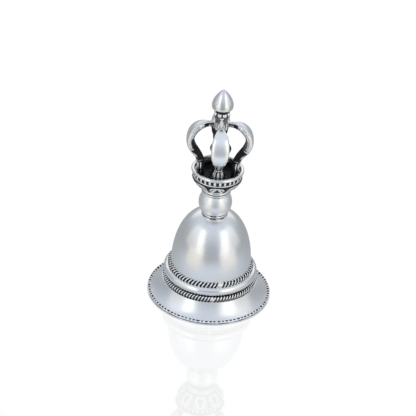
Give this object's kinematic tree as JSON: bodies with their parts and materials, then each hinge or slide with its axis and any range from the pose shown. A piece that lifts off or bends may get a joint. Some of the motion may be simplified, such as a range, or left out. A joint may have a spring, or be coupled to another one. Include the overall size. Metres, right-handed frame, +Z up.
{
  "type": "hand bell",
  "caption": "Small silver hand bell: flared mouth, rope wires round the waist, ball neck, lotus cup, a crown of curved prongs under a drop finial, and a hung clapper.",
  "frame": {"origin": "centre of the rim's plane, on which the bell stands", "axes": "+Z up along the bell's axis to the finial; -Y towards the front prong, +X towards the right prong"},
  "size_m": [0.0354, 0.0354, 0.0657],
  "materials": {
    "satin_silver": "satin polished sterling silver with soft wide highlights",
    "bright_silver": "polished sterling silver with fine handling scratches",
    "chased_silver": "polished high points, black oxide in the recesses",
    "oxidised_silver": "blackened silver, rubbed bright on its edges",
    "plain_silver": "plain turned silver, lightly tarnished inside the bell"
  },
  "bodies": {
    "bell": {"flared_skirt": "satin_silver", "rim_edge_wire": "chased_silver", "rim_beading": "chased_silver", "lower_rope_wire": "chased_silver", "waist_band": "satin_silver", "upper_rope_wire": "chased_silver", "dome_shell": "satin_silver", "neck_collar": "bright_silver", "ball_knob": "bright_silver", "neck_ring": "bright_silver", "lotus_cup": "oxidised_silver", "lotus_petals": "chased_silver", "cup_bead_band": "chased_silver", "cup_rim_ring": "bright_silver", "prong_root_front": "oxidised_silver", "prong_root_back": "oxidised_silver", "prong_root_left": "oxidised_silver", "prong_root_right": "oxidised_silver", "prong_front": "bright_silver", "prong_back": "bright_silver", "prong_left": "bright_silver", "prong_right": "bright_silver", "central_spindle": "oxidised_silver", "spindle_bead": "oxidised_silver", "crown_hub": "oxidised_silver", "hub_bead_ring": "chased_silver", "finial_drop": "bright_silver", "tie_rod": "oxidised_silver", "rod_nut": "plain_silver", "clapper_staple": "plain_silver"},
    "link": {"clapper_link": "plain_silver"},
    "clapper": {"clapper_eye": "plain_silver", "clapper_rod": "plain_silver", "clapper_ball": "plain_silver"}
  },
  "joints": [
    {"name": "link_swing", "type": "hinge", "parent": "bell", "child": "link", "pos_m": [0, 0, 0.02105], "axis": [0, 1, 0], "range_deg": [-7, 7]},
    {"name": "clapper_swing", "type": "hinge", "parent": "link", "child": "clapper", "pos_m": [0, 0, 0.0192], "axis": [1, 0, 0], "range_deg": [-30, 30]}
  ]
}
